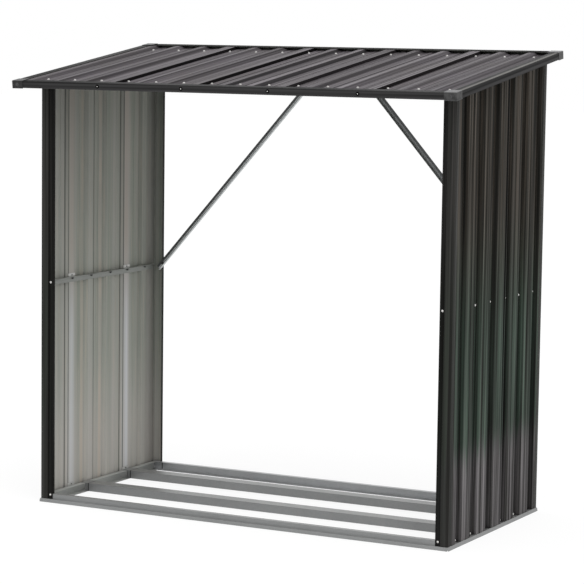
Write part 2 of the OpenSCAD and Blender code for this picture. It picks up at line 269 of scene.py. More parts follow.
def makeHandling():
    # pale scuffs and dust that gather low down on the sheets
    group, given, out = newGroup(
        "handlingMarks",
        [("Position", "vector", None), ("Amount", "value", 0.5)],
        [("Scuff", "value"), ("Dust", "value")],
    )
    parts = splitXyz(group, given["Position"])
    scratchy = stretched(group, given["Position"], (90.0, 90.0, 26.0))
    marks = fade(group, noise(group, scratchy, 1.0, 4.0, 0.65), 0.71, 0.8)
    low = fade(group, parts[2], 0.35, 0.0)
    feed(group, times(group, marks, given["Amount"]), out["Scuff"])
    cloudy = noise(group, given["Position"], 9.0, 4.0, 0.6)
    dustAndTopLight = times(group, low, cloudy)
    feed(group, times(group, dustAndTopLight, given["Amount"]), out["Dust"])
    return group


def makePaintedCornerShade():
    # painted shade: darker where sheets meet and along the inner folds, found by an
    # ambient occlusion test
    group, given, out = newGroup(
        "paintedCornerShade",
        [("Reach", "value", 0.02), ("Depth", "value", 1.0)],
        [("Open", "value")],
    )
    near = addNode(group, "ShaderNodeAmbientOcclusion", samples=8)
    feed(group, given["Reach"], near.inputs["Distance"])
    clear = fade(group, near.outputs["AO"], 0.25, 0.85)
    shut = maths(group, "SUBTRACT", 1.0, clear)
    depth = times(group, given["Depth"], -1.0)
    feed(group, maths(group, "MULTIPLY_ADD", shut, depth, 1.0, True), out["Open"])
    return group


def makeAcrossBand():
    # 1 inside a band that is centred on a line across the sheet
    group, given, out = newGroup(
        "acrossBand",
        [("Along", "value", 0.0), ("Centre", "value", 0.0), ("Half", "value", 0.02),
         ("Soft", "value", 0.006)],
        [("Band", "value")],
    )
    away = maths(group, "ABSOLUTE",
                 maths(group, "SUBTRACT", given["Along"], given["Centre"]))
    inside = maths(group, "SUBTRACT", given["Half"], away)
    share = maths(group, "DIVIDE", inside, given["Soft"], 0.0, True)
    feed(group, share, out["Band"])
    return group


paintedCornerShade = makePaintedCornerShade()
acrossBand = makeAcrossBand()
sheetStreaks = makeSheetStreaks()
zincSpangle = makeSpangle()
foldLine = makeFoldLine()
orangePeel = makeOrangePeel()
handlingMarks = makeHandling()
print("shared effects made:", len(bpy.data.node_groups))


def streaksOf(tree, position, scales):
    across, along = scales
    return useGroup(tree, sheetStreaks, Position=position, Across=across, Along=along)


def startMaterial(name):
    material = bpy.data.materials.new(name)
    material.use_nodes = True
    tree = material.node_tree
    shader = tree.nodes["Principled BSDF"]
    coords = addNode(tree, "ShaderNodeTexCoord")
    return material, tree, shader, coords


def dress(tree, shader, colour, rough, bump):
    feed(tree, colour, shader.inputs["Base Color"])
    feed(tree, rough, shader.inputs["Roughness"])
    feed(tree, bump, shader.inputs["Normal"])


def addBump(tree, height, normal, strength, distance):
    bump = addNode(tree, "ShaderNodeBump")
    bump.inputs["Strength"].default_value = strength
    bump.inputs["Distance"].default_value = distance
    feed(tree, height, bump.inputs["Height"])
    feed(tree, normal, bump.inputs["Normal"])
    return bump.outputs[0]


wallPaint = {
    "paintDark": (0.0150, 0.0150, 0.0135, 1),
    "reflectionHigh": (0.0660, 0.0560, 0.0460, 1),
    "reflectionMiddle": (0.0470, 0.0680, 0.0530, 1),
    "reflectionLow": (0.1350, 0.1270, 0.1310, 1),
    "highFrom": (0.68, 1.2),          # heights between which one painted reflection gives way to the next
    "lowFrom": (0.56, 0.44),
    "lowWave": 0.35,                  # how far the streaks carry that lower change
    "dustAndTopLight": (0.05, 0.047, 0.044, 1),
    "back": (0.40, 0.40, 0.375, 1),
    "backWarmAndLit": (0.50, 0.44, 0.37, 1),
    "backFoot": (0.50, 0.465, 0.445, 1),
    "backPink": (0.43, 0.385, 0.35, 1),
    "backBlue": (0.58, 0.59, 0.615, 1),
    "backGreen": (0.29, 0.312, 0.275, 1),
    "backFoldShade": (0.10, 0.11, 0.10, 1),
    "backScuff": (0.52, 0.53, 0.55, 1),
    "footFrom": (0.55, 0.10, 0.0, 0.45),
    "pinkFrom": (0.55, 0.95),
    "shadeLines": (-0.0290, -0.0195),  # from the middle of each wide groove
    "shadeLineHalf": 0.0026,
    "shadeLineColour": (0.09, 0.10, 0.09, 1),
    "wideBands": (-0.172, 0.210),   # the two grooves that meet the fixing plates
    "bandHalf": 0.0265,
    "bandSoft": 0.02,
    "litFlanks": (-0.085, 0.041),
    "litFlankHalf": 0.012,
    "rightShift": 0.036,            # the right wall's grooves lie further back
    "lapLine": {"left": -0.020, "right": 0.0900},
    "lapShadowHalf": (0.0042, 0.0024),   # wider by the first on the painted face
    "lapShadowHeights": (0.25, 0.8, 0.45, 1.0),
    "lapShadowColour": (0.002, 0.002, 0.002, 1),
    "topHighlight": (0.190, 0.185, 0.175, 1),
    "rearShadow": (0.002, 0.002, 0.002, 1),
    "streak": (46.0, 0.7),          # how fast a pattern changes across and along
    "thin": (150.0, 1.6),
    "fair": (38.0, 0.5),
    "hair": (330.0, 1.2),
    "gloss": 0.004,
    "paintRough": 0.34,
    "backRough": 0.5,
    "coat": 0.3,
    "coatRough": 0.12,
    "coatIor": 1.17,
    "foldRadius": 0.0009,
    "peelGrain": 0.005,
}

postPaint = dict(
    wallPaint,
    paintDark=(0.0200, 0.0200, 0.0185, 1),
    reflectionHigh=(0.0480, 0.0460, 0.0435, 1),
    reflectionMiddle=(0.0310, 0.0360, 0.0300, 1),
    reflectionLow=(0.0340, 0.0355, 0.0335, 1),
    innerStripShade=(0.779, 0.781, 0.4, 1.0),   # painted shade on the strip that faces into the store
    gloss=0.02,
)

trimPaint = dict(
    wallPaint,
    paintDark=(0.0300, 0.0297, 0.0300, 1),
    reflectionHigh=(0.0480, 0.0475, 0.0480, 1),
    pitchRise=0.1405,                # the roof's rise per metre of depth
    outerSide=(0.842, 0.846),
    outerFront=(-0.490, -0.494),
    rearStart=(0.395, 0.40),
    rearEnd=(0.82, 0.815),
    gloss=0.003,
    coat=0.08,
)

grooveTone = {
    "pitch": 0.1275,
    "first": 0.0446,          # from a groove's middle on the left wall to the origin
    "steps": (                # share of the pitch, brightness of the painted light there
        (0.00, 0.55), (0.06, 0.50), (0.14, 0.56), (0.22, 1.15), (0.29, 1.85),
        (0.36, 1.60), (0.47, 1.10), (0.58, 1.60), (0.68, 1.15), (0.76, 0.88),
        (0.86, 0.64), (0.94, 0.48), (1.00, 0.55),
    ),
    "heights": (0.30, 1.10),
    "low": 1.15,
    "high": 0.60,
}


def paintedSide(tree, coords, kind):
    # 1 on the face that is painted, 0 on the grey back coat and the cut edges
    nx, ny, nz = splitXyz(tree, coords.outputs["Normal"])
    px, py, pz = splitXyz(tree, coords.outputs["Object"])
    if kind == "wall":
        outward = times(tree, nx, px)
    elif kind == "post":
        sideways = times(tree, nx, px)
        outer = maths(tree, "GREATER_THAN", maths(tree, "ABSOLUTE", px), 0.785)
        sign = maths(tree, "MULTIPLY_ADD", outer, 2.0, -1.0)
        fromMiddle = maths(tree, "SUBTRACT", py, 0.043)
        outward = maths(tree, "MULTIPLY_ADD", ny, fromMiddle, times(tree, sideways, sign))
    elif kind == "roof":
        outward = maths(tree, "MULTIPLY_ADD", nx, 0.3, nz)
    else:
        across = times(tree, nx, px)
        outward = maths(tree, "ADD", maths(tree, "MULTIPLY_ADD", ny, py, across), nz)
    return fade(tree, outward, 0.01, 0.03), (nx, ny, nz), (px, py, pz)


def toneOfGrooves(tree, along, height, values):
    # the gloss catches the light on the flats and loses it in the grooves
    turns = maths(tree, "MULTIPLY_ADD", along, 1.0 / values["pitch"],
                  values["first"] / values["pitch"])
    ramp = addNode(tree, "ShaderNodeValToRGB")
    feed(tree, maths(tree, "FRACT", turns), ramp.inputs[0])
    steps = ramp.color_ramp.elements
    for number, (share, bright) in enumerate(values["steps"]):
        step = steps[number] if number < 2 else steps.new(share)
        step.position = share
        step.color = (bright / 2, bright / 2, bright / 2, 1)
    offset = maths(tree, "MULTIPLY_ADD", ramp.outputs["Color"], 2.0, -1.0)
    amount = fade(tree, height, *values["heights"], values["low"], values["high"])
    return maths(tree, "MULTIPLY_ADD", offset, amount, 1.0)


def outsidePaint(tree, kind, values, drawn, height, along, fair, thin, dustAndTopLight):
    # gloss anthracite under a painted reflection: browner high up, greener half-way and
    # paler at the foot
    paint = blendColour(tree, fade(tree, height, *values["highFrom"]),
                        values["reflectionMiddle"], values["reflectionHigh"])
    wavy = maths(tree, "MULTIPLY_ADD", fair["Narrow"], values["lowWave"], height)
    paint = blendColour(tree, fade(tree, wavy, *values["lowFrom"]), paint,
                        values["reflectionLow"])
    # the painted reflection shows in streaks, with the plain dark paint between them
    lit = times(tree, fade(tree, fair["Narrow"], 0.34, 0.66),
                fade(tree, thin["Broad"], 0.25, 0.6, 0.45, 1.0))
    paint = blendColour(tree, lit, values["paintDark"], paint)
    hair = streaksOf(tree, drawn, values["hair"])
    paint = darken(tree, paint, fade(tree, hair["Broad"], 0.3, 0.7, 0.72, 1.4))
    if kind == "wall":
        paint = darken(tree, paint, toneOfGrooves(tree, along, height, grooveTone))
    return blendColour(tree, dustAndTopLight, paint, values["dustAndTopLight"])


def grooveBands(tree, values, back, height, along, streak, thin):
    # paler bands over the two wide grooves, cool below and pinkish above; painted light
    # on two groove flanks between them; and painted shade lines by each wide groove
    tone = blendColour(tree, fade(tree, height, *values["pinkFrom"]),
                       values["backBlue"], values["backPink"])
    for centre in values["wideBands"]:
        band = useGroup(tree, acrossBand, Along=along, Centre=centre,
                        Half=values["bandHalf"], Soft=values["bandSoft"])
        share = times(tree, band["Band"],
                      maths(tree, "MULTIPLY_ADD", thin["Broad"], 1.2, 0.05))
        back = blendColour(tree, share, back, tone)
    # painted light on the flanks of two grooves that face the front
    for centre in values["litFlanks"]:
        band = useGroup(tree, acrossBand, Along=along, Centre=centre,
                        Half=values["litFlankHalf"])
        share = times(tree, band["Band"],
                      fade(tree, streak["Cloud"], 0.35, 0.65, 0.15, 0.6))
        back = blendColour(tree, share, back, values["backWarmAndLit"])
    # painted shade: two dark lines by each wide groove
    for centre in values["wideBands"]:
        for offset in values["shadeLines"]:
            line = useGroup(tree, acrossBand, Along=along, Centre=centre + offset,
                            Half=values["shadeLineHalf"], Soft=0.0012)
            back = blendColour(tree, times(tree, line["Band"], 0.75), back,
                               values["shadeLineColour"])
    return back


def insideCoat(tree, kind, values, place, along, streak, thin, scuff, fold):
    # grey-green back coat with warm and cool bands, painted light and painted shade
    height = place[2]
    back = blendColour(tree, fade(tree, streak["Broad"], 0.3, 0.7), values["backGreen"],
                       values["back"])
    fleck = times(tree, fade(tree, thin["Narrow"], 0.5, 0.66), 0.4)
    back = blendColour(tree, fleck, back, values["backWarmAndLit"])
    back = blendColour(tree, fade(tree, height, *values["footFrom"]), back,
                       values["backFoot"])
    if kind == "wall":
        back = grooveBands(tree, values, back, height, along, streak, thin)
    back = blendColour(tree, times(tree, scuff, 0.5), back, values["backScuff"])
    # painted shade: darker under the roof and towards the rear, and painted light: paler
    # low down
    paintedShade = fade(tree, height, 0.1, 1.5, 1.22, 0.84)
    paintedShade = times(tree, paintedShade, fade(tree, height, 1.25, 1.5, 1.0, 0.88))
    paintedShade = times(tree, paintedShade, fade(tree, place[1], 0.26, 0.37, 1.0, 0.8))
    back = darken(tree, back, paintedShade)
    # painted shade in the corners and folds of the back coat
    inner = useGroup(tree, paintedCornerShade, Reach=0.018, Depth=0.65)
    back = darken(tree, back, inner["Open"])
    # painted shade along the folds of the back coat
    return blendColour(tree, times(tree, fold, 0.45), back, values["backFoldShade"])


def trimEdges(tree, values, paint, place, normal):
    # painted highlight: the top flange is pale by its outer edge on the front and the
    # right
    across = maths(tree, "ABSOLUTE", place[0])
    outer = fade(tree, across, *values["outerSide"])
    outer = times(tree, outer, fade(tree, place[0], -0.5, 0.5))
    outer = maths(tree, "MAXIMUM", outer, fade(tree, place[1], *values["outerFront"]))
    top = times(tree, fade(tree, normal[2], 0.7, 0.9), outer)
    paint = blendColour(tree, times(tree, top, 0.85), paint, values["topHighlight"])
    # painted shadow: the rear trim is made near black
    rear = fade(tree, place[1], *values["rearStart"])
    rear = times(tree, rear, fade(tree, across, *values["rearEnd"]))
    paint = blendColour(tree, times(tree, rear, 0.9), paint, values["rearShadow"])
    return paint, rear


def lapShadow(tree, values, painted, onRight, place):
    # painted shadow: the dark line where one wall sheet laps the next
    lap = maths(tree, "MULTIPLY_ADD", onRight,
                values["lapLine"]["right"] - values["lapLine"]["left"],
                values["lapLine"]["left"])
    wide = maths(tree, "MULTIPLY_ADD", painted, *values["lapShadowHalf"])
    line = useGroup(tree, acrossBand, Along=place[1], Centre=lap, Half=wide, Soft=0.001)
    return times(tree, line["Band"], fade(tree, place[2], *values["lapShadowHeights"]))


def makeWallPaint(name, kind, values):
    material, tree, shader, coords = startMaterial(name)
    position = coords.outputs["Object"]
    painted, normal, place = paintedSide(tree, coords, kind)
    drawn = position
    if kind == "trim":
        # a trim was rolled along its own length, so its streaks lie level
        rise = maths(tree, "MULTIPLY_ADD", place[1], -values["pitchRise"], place[2])
        drawn = joinXyz(tree, rise, 0.0, maths(tree, "ADD", place[0], place[1]))
    streak = streaksOf(tree, drawn, values["streak"])
    thin = streaksOf(tree, drawn, values["thin"])
    fair = streaksOf(tree, drawn, values["fair"])
    marks = useGroup(tree, handlingMarks, Position=position, Amount=0.35)
    folds = useGroup(tree, foldLine, Radius=values["foldRadius"])
    shade = useGroup(tree, paintedCornerShade, Reach=0.03, Depth=0.85)
    onRight = maths(tree, "GREATER_THAN", place[0], 0.0)
    along = maths(tree, "MULTIPLY_ADD", onRight, -values["rightShift"], place[1])
    paint = outsidePaint(tree, kind, values, drawn, place[2], along, fair, thin,
                         marks["Dust"])
    back = insideCoat(tree, kind, values, place, along, streak, thin, marks["Scuff"],
                      folds["Fold"])
    # painted shade in the corners and grooves of the painted face
    paint = darken(tree, paint, shade["Open"])
    paintedShadowMask = None
    if kind == "post":
        # painted shade: the post's inner strip is darkened
        stripShade = fade(tree, maths(tree, "ABSOLUTE", place[0]), *values["innerStripShade"])
        paint = darken(tree, paint, stripShade)
    if kind == "trim":
        paint, paintedShadowMask = trimEdges(tree, values, paint, place, normal)
    colour = blendColour(tree, painted, back, paint)
    if kind == "wall":
        # painted shadow along the lap of the wall sheets
        paintedShadowMask = lapShadow(tree, values, painted, onRight, place)
        colour = blendColour(tree, paintedShadowMask, colour, values["lapShadowColour"])
    smear = times(tree, streak["Cloud"], 0.16)
    rough = addNode(tree, "ShaderNodeMix", data_type="FLOAT")
    feed(tree, painted, rough.inputs[0])
    feed(tree, maths(tree, "ADD", smear, values["backRough"] - 0.08), rough.inputs[2])
    feed(tree, maths(tree, "ADD", smear, values["paintRough"] - 0.08), rough.inputs[3])
    # the clear gloss breaks into narrow upright streaks, is dimmed in the painted shade
    # and is left off the painted shadows
    wet = fade(tree, fair["Narrow"], 0.36, 0.64, 0.05, 1.0)
    gleam = times(tree, times(tree, wet, shade["Open"]), values["coat"])
    if paintedShadowMask is not None:
        gleam = times(tree, gleam, maths(tree, "SUBTRACT", 1.0, paintedShadowMask))
    feed(tree, times(tree, painted, gleam), shader.inputs["Coat Weight"])
    skin = useGroup(tree, orangePeel, Position=position, Grain=values["peelGrain"])
    dress(tree, shader, colour, rough.outputs[0],
          addBump(tree, skin["Height"], folds["Normal"], 0.12, 0.0006))
    shader.inputs["Specular IOR Level"].default_value = values["gloss"]
    shader.inputs["Coat Roughness"].default_value = values["coatRough"]
    shader.inputs["Coat IOR"].default_value = values["coatIor"]
    return material


roofPaint = {
    "paint": (0.088, 0.083, 0.090, 1),
    "paintPale": (0.165, 0.158, 0.170, 1),
    "side": (0.012, 0.011, 0.012, 1),
    "leftFlankLight": (0.210, 0.205, 0.210, 1),
    "firstRib": -0.816,
    "pitch": 0.1118,
    "ribShadeLines": ((7, 0.75), (8, 0.75)),   # which ribs get a painted shade line, how strong
    "darkPast": 0.017,                    # how far right of the rib's middle
    "darkHalf": 0.0065,
    "streak": (60.0, 0.45),
    "thin": (300.0, 0.8),
    "cool": (1.0, 0.93, 1.02, 1),
    "warm": (1.0, 0.96, 0.86, 1),
    "glint": (0.27, 0.26, 0.265, 1),
    "back": (0.22, 0.225, 0.21, 1),
    "backPale": (0.3, 0.3, 0.28, 1),
    "gloss": 0.018,
    "rough": 0.40,
    "foldRadius": 0.0009,
    "peelGrain": 0.005,
}


def makeRoofPaint(name, kind, values):
    material, tree, shader, coords = startMaterial(name)
    position = coords.outputs["Object"]
    painted, normal, place = paintedSide(tree, coords, kind)
    # the streaks run down the slope, so y takes the long direction
    turned = joinXyz(tree, place[0], 0.0, place[1])
    streak = streaksOf(tree, turned, values["streak"])
    thin = streaksOf(tree, turned, values["thin"])
    folds = useGroup(tree, foldLine, Radius=values["foldRadius"])
    shade = useGroup(tree, paintedCornerShade, Reach=0.007, Depth=0.5)
    paint = blendColour(tree, fade(tree, streak["Broad"], 0.35, 0.72), values["paint"],
                        values["paintPale"])
    fine = maths(tree, "MULTIPLY_ADD", fade(tree, thin["Broad"], 0.35, 0.65), 1.0, 0.5)
    tint = blendColour(tree, thin["Cloud"], values["cool"], values["warm"])
    # the right-hand side of a rib keeps in the shade, most of all at a lap
    steep = times(tree, fade(tree, normal[0], 0.25, 0.6), 0.35)
    upright = times(tree, fade(tree, normal[0], 0.8, 0.95), 0.95)
    steep = maths(tree, "MAXIMUM", steep, upright)
    paint = blendColour(tree, steep, paint, values["side"])
    paint = darken(tree, paint, fine)
    paint = blendColour(tree, 0.8, paint, tint, "MULTIPLY")
    # painted shade: a dark line to the right of some ribs
    for rib, strength in values["ribShadeLines"]:
        centre = values["firstRib"] + rib * values["pitch"] + values["darkPast"]
        line = useGroup(tree, acrossBand, Along=place[0], Centre=centre,
                        Half=values["darkHalf"], Soft=0.003)
        paint = blendColour(tree, times(tree, line["Band"], strength), paint,
                            values["side"])
    # painted light: each rib shows paler on its left
    leftFlankLight = fade(tree, normal[0], -0.25, -0.5)
    paint = blendColour(tree, times(tree, leftFlankLight, 0.3), paint, values["leftFlankLight"])
    # painted shade beside the ribs
    paint = darken(tree, paint, shade["Open"])
    # painted highlight along the folds
    glint = fade(tree, times(tree, folds["Fold"], streak["Narrow"]), 0.15, 0.5)
    paint = blendColour(tree, times(tree, glint, 0.6), paint, values["glint"])
    back = blendColour(tree, streak["Cloud"], values["back"], values["backPale"])
    skin = useGroup(tree, orangePeel, Position=position, Grain=values["peelGrain"])
    dress(tree, shader, blendColour(tree, painted, back, paint),
          maths(tree, "MULTIPLY_ADD", streak["Cloud"], 0.2, values["rough"] - 0.1),
          addBump(tree, skin["Height"], folds["Normal"], 0.15, 0.0006))
    shader.inputs["Specular IOR Level"].default_value = values["gloss"]
    return material


zincCoat = {
    "dark": (0.235, 0.240, 0.238, 1),
    "light": (0.365, 0.370, 0.368, 1),
    "shaded": 0.06,
    "upright": 0.22,       # how much darker the faces that stand upright are, as painted shade
    "shadow": (0.06, 0.065, 0.075, 1),
    "rim": (0.2, 0.2, 0.2, 1),
    "scuff": (0.58, 0.58, 0.57, 1),
    "fold": (0.62, 0.62, 0.61, 1),
    "foldRadius": 0.0014,
    "endShadows": False,     # painted shadow: the dark line near both ends of a slat
    "endAt": 0.7610,
    "endHalf": 0.0028,
    "endShadowColour": (0.02, 0.02, 0.02, 1),
    "highlightFrom": 0,          # where the painted highlight on a brace's lower half starts
    "braceWay": (0.746, 0.666),     # how far that place moves with x and with z
    "braceSoft": 0.0008,
    "braceShare": (0.55, 0.3),      # more on the left brace, and on both
    "bracePale": (0.70, 0.73, 0.74, 1),
    "crystal": 0.006,
    "streak": (14.0, 14.0),
    "metal": 0.5,
    "rough": 0.36,
    "peelGrain": 0.006,
}


def braceHighlight(tree, values, colour, place):
    # the lower half of each brace catches the light
    across, wayUp = place[0], values["braceWay"][1]
    outwards = times(tree, maths(tree, "ABSOLUTE", across), values["braceWay"][0])
    upAcross = maths(tree, "MULTIPLY_ADD", place[2], wayUp, outwards)
    low = fade(tree, upAcross, values["highlightFrom"] + values["braceSoft"],
               values["highlightFrom"] - values["braceSoft"])
    onLeft = maths(tree, "LESS_THAN", across, 0.0)
    share = maths(tree, "MULTIPLY_ADD", onLeft, *values["braceShare"])
    return blendColour(tree, times(tree, low, share), colour, values["bracePale"])


def makeZinc(name, values):
    material, tree, shader, coords = startMaterial(name)
    position = coords.outputs["Object"]
    place = splitXyz(tree, position)
    crystal = useGroup(tree, zincSpangle, Position=position, Crystal=values["crystal"])
    streak = streaksOf(tree, position, values["streak"])
    marks = useGroup(tree, handlingMarks, Position=position, Amount=0.4)
    folds = useGroup(tree, foldLine, Radius=values["foldRadius"])
    share = maths(tree, "MULTIPLY_ADD", crystal["Grey"], 0.22,
                  times(tree, streak["Cloud"], 0.8))
    colour = blendColour(tree, share, values["dark"], values["light"])
    rim = times(tree, maths(tree, "SUBTRACT", 1.0, crystal["Edge"]), 0.06)
    colour = blendColour(tree, rim, colour, values["rim"])
    colour = blendColour(tree, marks["Scuff"], colour, values["scuff"])
    # painted highlight: paler along the folds
    colour = blendColour(tree, times(tree, folds["Fold"], 0.35), colour,
                         values["fold"])
    # painted shade in the corners of the zinc
    shade = useGroup(tree, paintedCornerShade, Reach=0.02, Depth=values["shaded"])
    colour = darken(tree, colour, shade["Open"])
    # painted shade on the faces that stand upright
    upright = fade(tree, splitXyz(tree, coords.outputs["Normal"])[2], 0.7, 0.2)
    colour = blendColour(tree, times(tree, upright, values["upright"]),
                         colour, values["shadow"])
    if values["highlightFrom"]:
        colour = braceHighlight(tree, values, colour, place)
    # painted shadow where a slat end meets the side rail
    if values["endShadows"]:
        line = useGroup(tree, acrossBand, Along=maths(tree, "ABSOLUTE", place[0]),
                        Centre=values["endAt"], Half=values["endHalf"], Soft=0.0008)
        colour = blendColour(tree, times(tree, line["Band"], 0.85), colour,
                             values["endShadowColour"])
    skin = useGroup(tree, orangePeel, Position=position, Grain=values["peelGrain"])
    dress(tree, shader, colour,
          maths(tree, "MULTIPLY_ADD", crystal["Grey"], 0.14, values["rough"]),
          addBump(tree, skin["Height"], folds["Normal"], 0.1, 0.0006))
    shader.inputs["Metallic"].default_value = values["metal"]
    return material


capPlastic = {
    "colour": (0.026, 0.026, 0.026, 1),
    "pale": (0.056, 0.056, 0.056, 1),
    "fold": (0.24, 0.24, 0.25, 1),
    "dustAndTopLight": (0.27, 0.27, 0.275, 1),
    "leftToRight": (-0.5, 0.5, 0.55, 1.12),   # the left caps are the darker ones
    "rough": 0.5,
    "foldRadius": 0.0018,
    "grain": 1400.0,
    "gloss": 0.25,
}


def makeCapPlastic(name, values):
    material, tree, shader, coords = startMaterial(name)
    position = coords.outputs["Object"]
    cloud = noise(tree, position, 60.0, 4.0, 0.6)
    colour = blendColour(tree, fade(tree, cloud, 0.35, 0.65), values["colour"],
                         values["pale"])
    folds = useGroup(tree, foldLine, Radius=values["foldRadius"])
    # painted highlight: paler along the folds
    colour = blendColour(tree, times(tree, folds["Fold"], 0.4), colour,
                         values["fold"])
    # painted light: the upward faces are paler, where light falls from above
    paintedTopLight = fade(tree, splitXyz(tree, coords.outputs["Normal"])[2], 0.35, 0.9)
    colour = blendColour(tree, times(tree, paintedTopLight, 0.6), colour,
                         values["dustAndTopLight"])
    leftDarkening = fade(tree, splitXyz(tree, position)[0], *values["leftToRight"])
    colour = darken(tree, colour, leftDarkening)
    grain = noise(tree, position, values["grain"], 2.0)
    dress(tree, shader, colour,
          maths(tree, "MULTIPLY_ADD", cloud, 0.2, values["rough"] - 0.1),
          addBump(tree, grain, folds["Normal"], 0.25, 0.0002))
    shader.inputs["Specular IOR Level"].default_value = values["gloss"]
    return material


slatCoat = dict(zincCoat, endShadows=True)
# the rear base rail takes a paler copy of the zinc as painted light, without the upright
# shade
rearLitCoat = dict(slatCoat, upright=0.0, dark=(0.42, 0.43, 0.44, 1),
                light=(0.60, 0.61, 0.62, 1), metal=0.3)
# the braces take a darker copy of the zinc as painted shade, with a painted highlight on
# the lower half
braceShadedCoat = dict(zincCoat, highlightFrom=1.1085, dark=(0.085, 0.09, 0.09, 1),
                 light=(0.11, 0.115, 0.115, 1), metal=0.2)
railCoat = dict(zincCoat, dark=(0.215, 0.228, 0.205, 1), light=(0.35, 0.36, 0.335, 1),
                metal=0.3)
# the left base rail takes a paler copy of the zinc as painted light, without the upright
# shade
leftLitCoat = dict(zincCoat, upright=0.0, dark=(0.34, 0.35, 0.34, 1),
                light=(0.52, 0.53, 0.51, 1), metal=0.2)

wallMaterial = makeWallPaint("gloss_wall_paint", "wall", wallPaint)
postMaterial = makeWallPaint("gloss_post_paint", "post", postPaint)
trimMaterial = makeWallPaint("gloss_trim_paint", "trim", trimPaint)
roofMaterial = makeRoofPaint("roof_paint", "roof", roofPaint)
zincMaterial = makeZinc("zinc_coat", zincCoat)
slatMaterial = makeZinc("zinc_slat_coat", slatCoat)
rearLitMaterial = makeZinc("zinc_rear_lit_coat", rearLitCoat)
braceShadedMaterial = makeZinc("zinc_brace_shaded_coat", braceShadedCoat)
capMaterial = makeCapPlastic("cap_plastic", capPlastic)
railMaterial = makeZinc("zinc_rail_coat", railCoat)
leftLitMaterial = makeZinc("zinc_left_lit_coat", leftLitCoat)

finishes = {
    "_panel_": wallMaterial,
    "_post_": postMaterial,
    "roof_trim": trimMaterial,
    "roof_sheet": roofMaterial,
    "corner_cap": capMaterial,
    "floor_slat": slatMaterial,
    "base_rail_rear": rearLitMaterial,
    "brace_": braceShadedMaterial,
    "mid_rail": railMaterial,
    "top_rail": railMaterial,
    "base_rail_left": leftLitMaterial,
}
for name, node in nodes.items():
    chosen = [material for part, material in finishes.items() if part in name]
    for place in node.material_slots:
        place.material = chosen[0] if chosen else zincMaterial
print("finishes given to", len(nodes), "pieces")


lightValues = {
    "worldColour": (1, 1, 1, 1),
    "worldFill": 0.78,
    "sunFill": 1.0,
    "sunSoft": 50,         # degrees across
    "sunWay": (-0.30, 0.45, -0.90),
}


def seenDirectly(tree):
    # 1 for what the eye, a gloss or a glass sees straight away
    path = addNode(tree, "ShaderNodeLightPath")
    seen = maths(tree, "MAXIMUM", path.outputs["Is Camera Ray"],
                 path.outputs["Is Glossy Ray"])
    return maths(tree, "MAXIMUM", seen, path.outputs["Is Transmission Ray"])


def makeWorld(values):
    world = bpy.data.worlds.new("studio")
    bpy.context.scene.world = world
    world.use_nodes = True
    tree = world.node_tree
    back = tree.nodes["Background"]
    back.inputs["Color"].default_value = values["worldColour"]
    seen = seenDirectly(tree)
    level = maths(tree, "MULTIPLY_ADD", seen, 1.0 - values["worldFill"],
                  values["worldFill"])
    feed(tree, level, back.inputs["Strength"])


def makeSun(values):
    data = bpy.data.lights.new("soft_key", "SUN")
    data.energy = values["sunFill"]
    data.angle = math.radians(values["sunSoft"])
    sun = bpy.data.objects.new("soft_key", data)
    bpy.context.scene.collection.objects.link(sun)
    down = Vector(values["sunWay"]).normalized()
    sun.rotation_euler = down.to_track_quat("-Z", "Y").to_euler()


floorValues = {
    "half": 40.0,
    "colour": (0.9, 0.9, 0.9, 1),
    "share": 0.8,        # how much of the floor's own white the eye sees
    "white": 1.06,
}


def makeFloor(values):
    bpy.ops.object.select_all(action="DESELECT")
    bpy.ops.mesh.primitive_plane_add(size=2 * values["half"])
    floor = bpy.context.object
    floor.name = "studio_floor"
    material = bpy.data.materials.new("pale_floor")
    material.use_nodes = True
    tree = material.node_tree
    tree.nodes.remove(tree.nodes["Principled BSDF"])
    plain = addNode(tree, "ShaderNodeBsdfDiffuse")
    plain.inputs["Color"].default_value = values["colour"]
    white = addNode(tree, "ShaderNodeEmission")
    white.inputs["Strength"].default_value = values["white"]
    both = addNode(tree, "ShaderNodeMixShader")
    feed(tree, times(tree, seenDirectly(tree), values["share"]),
         both.inputs[0])
    tree.links.new(plain.outputs[0], both.inputs[1])
    tree.links.new(white.outputs[0], both.inputs[2])
    tree.links.new(both.outputs[0], tree.nodes["Material Output"].inputs[0])
    floor.data.materials.append(material)


makeWorld(lightValues)
makeSun(lightValues)
makeFloor(floorValues)
bpy.context.scene.view_settings.view_transform = "Standard"
print("floor, world and light made")


def clearChoice():
    if bpy.context.mode != "OBJECT":
        bpy.ops.object.mode_set(mode="OBJECT")
    bpy.ops.object.select_all(action="DESELECT")


def pick(piece, kind, test):
    # in edit mode: selects the faces or edges that pass the test, and only those
    bpy.ops.mesh.select_mode(type=kind)
    bpy.ops.mesh.select_all(action="DESELECT")
    shape = bmesh.from_edit_mesh(piece.data)
    for part in shape.faces if kind == "FACE" else shape.edges:
        part.select_set(test(part))
    shape.select_flush_mode()
    bmesh.update_edit_mesh(piece.data)


def facesUp(face):
    return face.normal.z > 0.9


def standsUp(edge):
    low, high = (corner.co for corner in edge.verts)
    return (high - low).xy.length < abs(high.z - low.z)


def seatOn(part, start, direction, sink=0.0002):
    # where a line from start first meets a CAD piece whose name holds part
    best = None
    for name, node in nodes.items():
        if part not in name:
            continue
        met, place, normal, _ = node.ray_cast(Vector(start), Vector(direction))
        if met and (best is None or (place - Vector(start)).length < best[2]):
            best = (place, normal, (place - Vector(start)).length)
    if best is None:
        raise RuntimeError("no " + part + " under " + str(start))
    place, normal, _ = best
    if normal.dot(Vector(direction)) > 0:
        normal = -normal
    return place - normal * sink, normal


